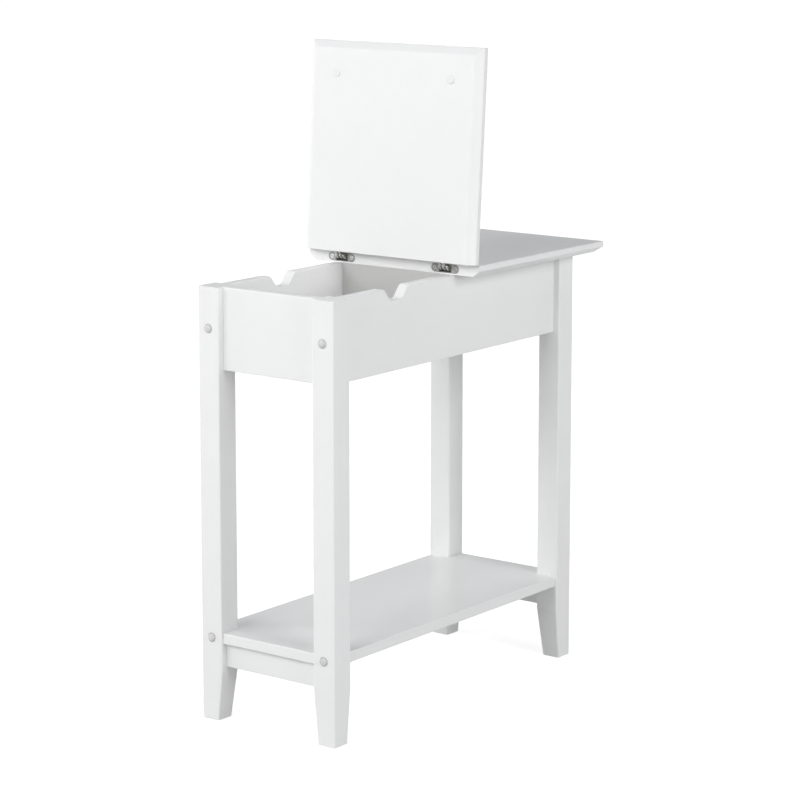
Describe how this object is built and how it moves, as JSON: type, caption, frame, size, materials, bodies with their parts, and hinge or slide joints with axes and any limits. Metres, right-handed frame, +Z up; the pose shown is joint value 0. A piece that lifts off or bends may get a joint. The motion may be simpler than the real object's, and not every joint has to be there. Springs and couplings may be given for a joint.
{
  "type": "lift top end table",
  "caption": "Narrow white end table with a lid that flips up over a storage compartment, finger notches in the side panels and a low shelf.",
  "frame": {"origin": "middle of the table's box on the floor, with the lid standing open", "axes": "+Z up, -Y towards the lid and compartment end, +X to the right of someone who faces that end from the front"},
  "size_m": [0.292, 0.5855, 0.9017],
  "materials": {
    "painted_wood": "semi-gloss white paint over wood and board",
    "dowel_wood": "bare beech",
    "leaf_zinc": "die-cast, satin nickel plating",
    "link_steel": "lightly oiled plated steel",
    "screw_steel": "bright zinc plating",
    "bolt_steel": "zinc plating",
    "nut_steel": "zinc plating",
    "cap_plastic": "satin white",
    "bumper_plastic": "soft pale grey"
  },
  "bodies": {
    "table": {"barrel_nuts": "nut_steel", "bolt_caps": "cap_plastic", "cleat_screws": "screw_steel", "compartment_bottom": "painted_wood", "divider_dowels": "dowel_wood", "divider_panel": "painted_wood", "end_panel_dowels": "dowel_wood", "fixed_top": "painted_wood", "frame_bolts": "bolt_steel", "front_panel": "painted_wood", "hinge_leaf_fixed_left": "leaf_zinc", "hinge_leaf_fixed_right": "leaf_zinc", "hinge_pins_fixed": "link_steel", "hinge_screws_fixed": "screw_steel", "leg_front_left": "painted_wood", "leg_front_right": "painted_wood", "leg_rear_left": "painted_wood", "leg_rear_right": "painted_wood", "rail_dowels": "dowel_wood", "rear_panel": "painted_wood", "shelf": "painted_wood", "shelf_rail_front": "painted_wood", "shelf_rail_rear": "painted_wood", "side_panel_dowels": "dowel_wood", "side_panel_left": "painted_wood", "side_panel_right": "painted_wood", "top_cleat_left": "painted_wood", "top_cleat_right": "painted_wood"},
    "lid": {"hinge_leaf_lid_left": "leaf_zinc", "hinge_leaf_lid_right": "leaf_zinc", "hinge_pins_lid": "link_steel", "hinge_screws_lid": "screw_steel", "lid": "painted_wood", "lid_bumpers": "bumper_plastic"},
    "fixed_links": {"hinge_links_fixed_left": "link_steel", "hinge_links_fixed_right": "link_steel"},
    "lid_links": {"hinge_links_lid_left": "link_steel", "hinge_links_lid_right": "link_steel"}
  },
  "joints": [
    {"name": "lid_hinge", "type": "hinge", "parent": "table", "child": "lid", "pos_m": [0, -0.01375, 0.6104], "axis": [-1, 0, 0], "range_deg": [-93.6, 86]},
    {"name": "fixed_link_pivot", "type": "hinge", "parent": "table", "child": "fixed_links", "pos_m": [0, -0.01065, 0.6052], "axis": [-1, 0, 0], "range_deg": [-54.4, 50]},
    {"name": "lid_link_pivot", "type": "hinge", "parent": "lid", "child": "lid_links", "pos_m": [0, -0.01872, 0.61386], "axis": [-1, 0, 0], "range_deg": [-50, 54.4]}
  ],
  "couplings": [
    {"joint": "fixed_link_pivot", "follows": "lid_hinge", "ratio": 0.58},
    {"joint": "lid_link_pivot", "follows": "lid_hinge", "ratio": -0.58}
  ]
}
